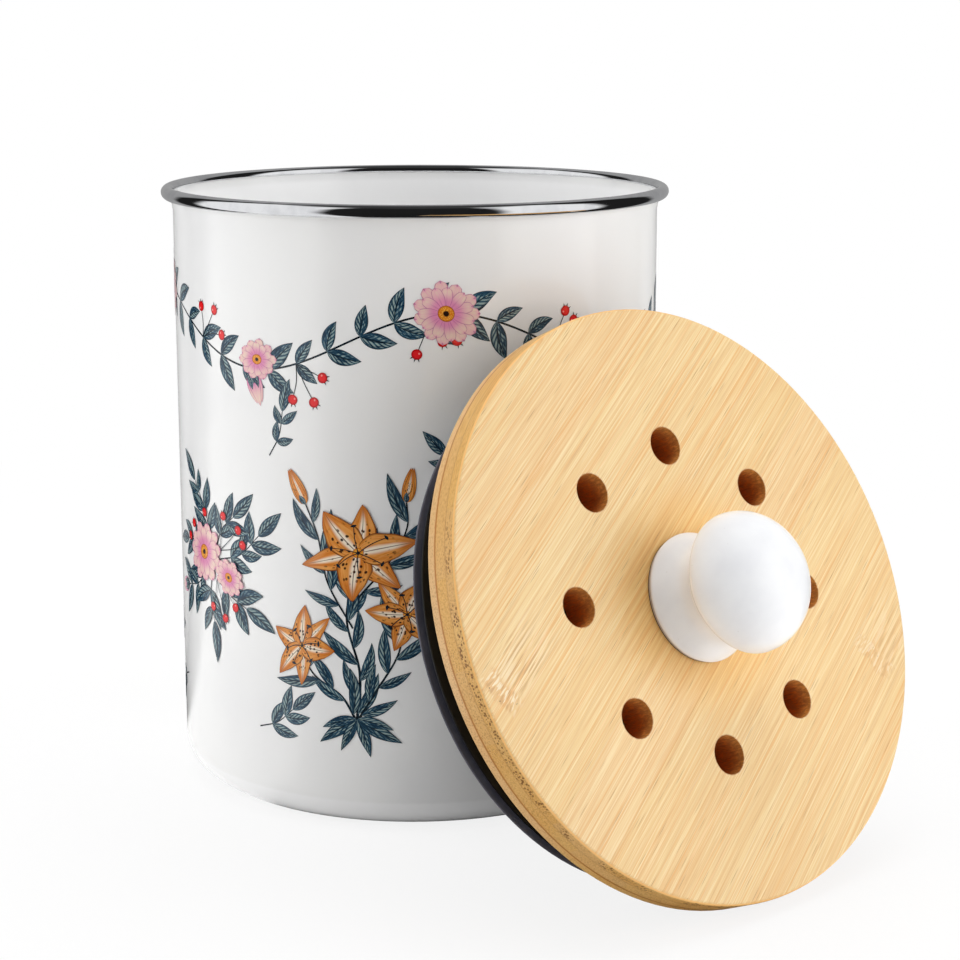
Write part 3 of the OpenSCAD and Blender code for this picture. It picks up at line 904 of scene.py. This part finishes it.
def lily(x, y, radius, squash, turn, squash_at):
    """An open lily: three back petals, three front ones, and six stamens."""
    kept = within(x, y, turn, squash, squash_at)
    for row, wide in ((0, 0.5), (1, 0.62)):
        for k in range(3):
            angle = 120 * k + 60 * row + draw.uniform(-5, 5)
            long = radius * draw.uniform(0.94, 1.04)
            bend = draw.uniform(-22, 22)
            blade("lily", (0, 0), angle, long, radius * wide, bend, ovate, ripple=0.03)
    disc("heart", (0, 0), radius * 0.2)
    for k in range(6):
        angle = 60 * k + 25 + draw.uniform(-10, 10)
        tip = ray(angle) * radius * draw.uniform(0.42, 0.56)
        stroke([(0, 0), tip * 0.5 + [0.3, 0.5], tip], *STAMEN)
        blade("stem", tip - ray(angle + 90), angle + 90, 2.2, 0.9, bend=10)
    pen["frame"] = kept


def lily_bud(base, heading, size):
    for way in (-1, 1, 0):
        blade("lily", base, heading + way * 9, size, size * 0.3, -way * 14, ovate)
    blade("leaf", base, heading + 12, size * 0.3, size * 0.16)


# Heading, length and pairs of leaves of each twig in a bouquet, and the twig that ends in a bud.
BOUQUET = (
    (8, 25, 3), (55, 20, 2), (100, 26, 3), (150, 19, 2), (205, 24, 3), (255, 18, 2), (305, 22, 2),
)
BUD_TWIG = 4
BOUQUET_BERRIES = (32, 128, 280)
BOUQUET_SIZE, LOOSE_SIZE = 0.86, 0.85
# The course and the width of each stem in the tall motif, from its foot.
LILY_STEMS = (
    ([(0, 0), (1, 16), (-3, 34), (2, 52)], 1.0),
    ([(0, 0), (6, 10), (13, 22), (15, 33)], 0.8),
    ([(0, 0), (-5, 8), (-14, 14), (-18, 21)], 0.8),
    ([(-1, 30), (-9, 44), (-12, 58), (-16, 68)], 0.6),
    ([(1, 40), (11, 52), (16, 62), (16, 70)], 0.6),
)
# Heading and length of the leaves at its foot.
FOOT_LEAVES = ((-150, 15), (-118, 12), (-65, 13), (-30, 16), (-172, 12), (-8, 12))
# Where the loose twigs lie in each third of the wall, and their headings.
LOOSE_TWIGS = ((-46, 118, 60), (-100, 36, 200), (20, 108, 115), (36, 46, 300), (-52, 30, 20))


def bouquet(s, z, turn, flip):
    """Twigs on all sides with berries and a bud, and two daisies over them."""
    pen["layer"] = 0
    place_at(s, z, turn, flip, BOUQUET_SIZE)
    for k, (angle, long, pairs) in enumerate(BOUQUET):
        heading = angle + draw.uniform(-8, 8)
        long = long * draw.uniform(0.9, 1.08)
        leaf = draw.uniform(12, 14.5)
        bend = draw.choice((-26, 24))
        tip, run = twig(ray(heading) * 5, heading, long, pairs, leaf, bend, k != BUD_TWIG)
        if k == BUD_TWIG:
            bud(tip, run, size=10.5)
    for angle in BOUQUET_BERRIES:
        berries(ray(angle) * 7, angle, length=12)
    daisy(-5.5, 3.5, 12.5, 11, 0.9, turn=draw.uniform(0, 30), squash_at=20)
    daisy(9.5, -6.5, 8.6, 10, 0.82, turn=draw.uniform(0, 30), squash_at=-30)


def lilies(s, z, flip):
    """The tall motif: three lilies on leafy stems that rise from one foot."""
    pen["layer"] = 0
    place_at(s, z, flip=flip)
    for points, thick in LILY_STEMS:
        path, run = stroke(points, thick, 0.45)
        for k in range(LEAF_GAP // 2, len(path) - LEAF_GAP, LEAF_GAP):
            way = 1 if (k // LEAF_GAP) % 2 else -1
            long = draw.uniform(11, 17)
            spread = run[k] + way * draw.uniform(32, 55)
            blade("leaf", path[k], spread, long, long * 0.26, -way * draw.uniform(15, 40))
    for angle, long in FOOT_LEAVES:
        blade("leaf", (0, 1), angle, long, long * 0.28, draw.uniform(-25, 25))
    lily_bud((-16, 68), heading=118, size=12)
    lily_bud((16, 70), heading=80, size=11)
    lily(-18, 23, 13.5, 0.8, turn=40, squash_at=60)
    lily(16, 35, 14.5, 0.82, turn=10, squash_at=-30)
    lily(1, 54, 18.5, 0.86, turn=75, squash_at=20)


def garland():
    """A vine that waves round the wall under the rim, with a flower at every turn of it."""
    waves, joints = 4, 48
    middle, swing = 154.0, 9.5       # the height it waves about, and how far
    start = -20.0
    pace = 2 * math.pi * waves / GIRTH

    def vine(k):
        """The vine's place and heading at a joint, or between two."""
        s = start + GIRTH * k / joints
        wave = pace * (s - start)
        heading = math.degrees(math.atan(swing * pace * math.cos(wave)))
        return s, middle + swing * math.sin(wave), heading

    place_at(0, 0)
    for k in range(joints):
        pen["layer"] = 0
        stroke([vine(k + i / 4)[:2] for i in range(5)], 0.6)
    for k in range(joints):
        pen["layer"] = LEAF_LAYER
        s, z, heading = vine(k + 0.5)
        for way in (-1, 1):
            long = draw.uniform(9, 13)
            spread = heading + way * draw.uniform(40, 70)
            blade("leaf", (s, z), spread, long, long * 0.42, -way * draw.uniform(10, 40))
        if k % 4 == 2:
            berries((s, z), heading + draw.choice((-80, 80)), length=10, size=3.2)
    for k in range(2 * waves):
        pen["layer"] = FLOWER_LAYER
        s, z, _ = vine((k + 0.5) * joints / (2 * waves))
        flower = (s, z, 10.5, 11, 0.92)
        if k % 2:
            bud((s - 2, z), heading=-70, size=11)
            flower = (s + 1, z + 3, 7.6, 10, 0.85)
        daisy(*flower, turn=draw.uniform(0, 30), squash_at=draw.uniform(-40, 40))


def print_wall():
    """The garland, then each third of the wall with a tall motif, a bouquet and loose twigs."""
    garland()
    for k in range(3):
        away = k * GIRTH / 3
        lilies(away - 17, 36, flip=k == 1)
        bouquet(away - 74, 80, turn=12 + 40 * k, flip=k == 2)
        for s, z, turn in LOOSE_TWIGS:
            pen["layer"] = 0
            place_at(s + away, z, turn + 30 * k, size=LOOSE_SIZE)
            twig((0, 0), heading=0, length=18, pairs=2, leaf=11)


WELD_MM = 0.002


def weld(mesh):
    """Closes the zero-length edges that a shape's tips and centre are stamped with."""
    build = bmesh.new()
    build.from_mesh(mesh)
    bmesh.ops.dissolve_degenerate(build, dist=WELD_MM * MM, edges=build.edges)
    build.to_mesh(mesh)
    build.free()


def wall_piece(name):
    """Makes one ink's shapes into a mesh that rides on the canister."""
    sheet = sheets[name]
    mesh = bpy.data.meshes.new("print_" + name)
    mesh.from_pydata(np.vstack(sheet["at"]).tolist(), [], np.vstack(sheet["faces"]).tolist())
    mesh.validate()
    corner = read(mesh.loops, "vertex_index", np.int32)
    mesh.uv_layers.new(name="shape").data.foreach_set("uv", np.vstack(sheet["uv"])[corner].ravel())
    lots = mesh.color_attributes.new(name="lot", type="FLOAT_COLOR", domain="POINT")
    lots.data.foreach_set("color", np.vstack(sheet["lot"]).ravel())
    weld(mesh)
    out = np.array([vertex.co for vertex in mesh.vertices]) * [1, 1, 0]
    out /= np.linalg.norm(out, axis=1)[:, None]
    mesh.shade_smooth()
    mesh.normals_split_custom_set_from_vertices(out.tolist())
    mesh.materials.append(INKS[name])
    piece = add("print_" + name, mesh)
    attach(piece, "canister")


print_wall()
for name in INKS:
    wall_piece(name)


# ---------------------------------------------------------------- stage, light and camera
# Degrees round from the camera's side: the end of the dark gap there, the ends of the white on
# the left and on the right, and where the grey behind begins.
GAP_END, LEFT_END, RIGHT_END, GREY_FROM = 40, 109, 90, 132
SOFT_EDGE = 5
BACK_GREY, DARKEST = 0.36, 0.015
FLOOR_REACH, FLOOR_DROP = 6.0, 0.00005
SHADOW_NEAR, SHADOW_FAR = 0.16, 0.55     # the floor turns to plain white between these
SHADOW_SHARE = 0.16                # how much of the floor's own shading shows near the object
FILL, FRONT_FILL, FRONT = 0.22, 0.08, (70.0, 20.0)     # FRONT: degrees, from none to all
OVERHEAD, CEILING = (0.8, 0.93), 0.05    # how far up the studio ends, and what is above it
LIT = Vector((0.02, 0, 0.1))       # the point that the lamps are turned to


def studio_tone(tree, x, y):
    """What bright metal sees at a bearing: dark at the camera, white at both sides, grey behind."""
    bearing = times(tree, calc(tree, "ARCTAN2", x, times(tree, y, -1.0)), 180 / math.pi)
    away = calc(tree, "ABSOLUTE", bearing)
    right = calc(tree, "GREATER_THAN", bearing, 0.0)
    shift = times(tree, right, LEFT_END - RIGHT_END)
    begins = rise(tree, away, GAP_END - SOFT_EDGE, GAP_END + SOFT_EDGE)
    ends = rise(tree, plus(tree, away, shift), LEFT_END + SOFT_EDGE, LEFT_END - SOFT_EDGE)
    behind = rise(tree, away, GREY_FROM - SOFT_EDGE, GREY_FROM + SOFT_EDGE)
    tone = highest(tree, times(tree, begins, ends), times(tree, behind, BACK_GREY), DARKEST)
    return tone, away


def stage_floor():
    """White paper to the camera that keeps the object's shadow; metal sees the studio in it."""
    mesh = bpy.data.meshes.new("floor")
    corners = ((-1, -1), (1, -1), (1, 1), (-1, 1))
    points = [(x * FLOOR_REACH, y * FLOOR_REACH, -FLOOR_DROP) for x, y in corners]
    mesh.from_pydata(points, [], [(0, 1, 2, 3)])
    pale = (0.98, 0.98, 0.98, 1)
    material, tree, shader = finish("floor", Base_Color=pale, Roughness=0.9, IOR=1.4)
    rays = tree.nodes.new("ShaderNodeLightPath")
    spot = put(tree, "TexCoord", output=3)
    x, y, _ = split(tree, spot)
    tone, _ = studio_tone(tree, x, y)
    reach = {"Value": norm(tree, spot), "From Min": SHADOW_NEAR, "From Max": SHADOW_FAR}
    paper = put(tree, "MapRange", {**reach, "To Min": 1.0 - SHADOW_SHARE, "To Max": 1.0})
    paper = times(tree, rays.outputs["Is Camera Ray"], paper)
    white = put(tree, "Emission", {"Color": (1, 1, 1, 1)})
    seen = put(tree, "MixShader", {0: paper, 1: shader.outputs[0], 2: white})
    shine = put(tree, "Emission", {"Color": put(tree, "CombineColor", {0: tone, 1: tone, 2: tone})})
    seen = put(tree, "MixShader", {0: rays.outputs["Is Glossy Ray"], 1: seen, 2: shine})
    tree.links.new(seen, tree.nodes["Material Output"].inputs["Surface"])
    mesh.materials.append(material)
    floor = add("floor", mesh)


def studio():
    """White to the camera, soft fill for the object, and the studio's pattern in reflections."""
    world = bpy.data.worlds.new("studio")
    bpy.context.scene.world = world
    world.use_nodes = True
    tree = world.node_tree
    tree.nodes.clear()
    x, y, z = split(tree, put(tree, "TexCoord", output=0))
    tone, away = studio_tone(tree, x, y)
    overhead = rise(tree, z, *OVERHEAD)
    tone = times(tree, tone, minus(tree, 1.0, overhead))
    tone = plus(tree, tone, times(tree, overhead, CEILING))
    front = rise(tree, away, *FRONT)
    fill = plus(tree, FILL, times(tree, front, FRONT_FILL))
    rays = tree.nodes.new("ShaderNodeLightPath")
    level = put(tree, "Mix", {0: rays.outputs["Is Glossy Ray"], 2: fill, 3: tone})
    plain = highest(tree, rays.outputs["Is Camera Ray"], rays.outputs["Is Transmission Ray"])
    level = put(tree, "Mix", {0: plain, 2: level, 3: 1.0})
    background = put(tree, "Background", {"Color": (1, 1, 1, 1), "Strength": level})
    output = tree.nodes.new("ShaderNodeOutputWorld")
    tree.links.new(background, output.inputs["Surface"])


def softbox(name, at, wide, tall, watts):
    light = bpy.data.lights.new(name, "AREA")
    light.shape = "RECTANGLE"
    light.size, light.size_y, light.energy = wide, tall, watts
    lamp = add(name, light)
    lamp.location = at
    lamp.visible_glossy = False      # the world's pattern stands in for the lamps in reflections
    lamp.rotation_euler = (LIT - Vector(at)).to_track_quat("-Z", "Y").to_euler()


stage_floor()
studio()
softbox("softbox_left", (-1.48, -0.16, 0.42), wide=1.4, tall=1.4, watts=15.4)
softbox("softbox_right", (1.45, -0.5, 0.5), wide=1.4, tall=1.3, watts=16)
softbox("softbox_top", (0.0, 0.1, 1.5), wide=1.3, tall=1.3, watts=12)
softbox("softbox_back", (0.0, 0.9, 1.3), wide=1.3, tall=1.0, watts=5)

CAMERA_AT = (0.02119, -0.7514, 0.2563)     # as fitted to the photograph
CAMERA_DIP = 0.210     # radians below level
PICTURE_PX = 960
FOCUS_PX = 2275.4
SENSOR_MM = 36
camera = bpy.data.cameras.new("camera")
camera.sensor_width = SENSOR_MM
camera.lens = FOCUS_PX / PICTURE_PX * SENSOR_MM
eye = add("camera", camera)
eye.location = CAMERA_AT
eye.rotation_euler = (math.pi / 2 - CAMERA_DIP, 0, 0)
bpy.context.scene.camera = eye
bpy.context.scene.view_settings.view_transform = "Standard"
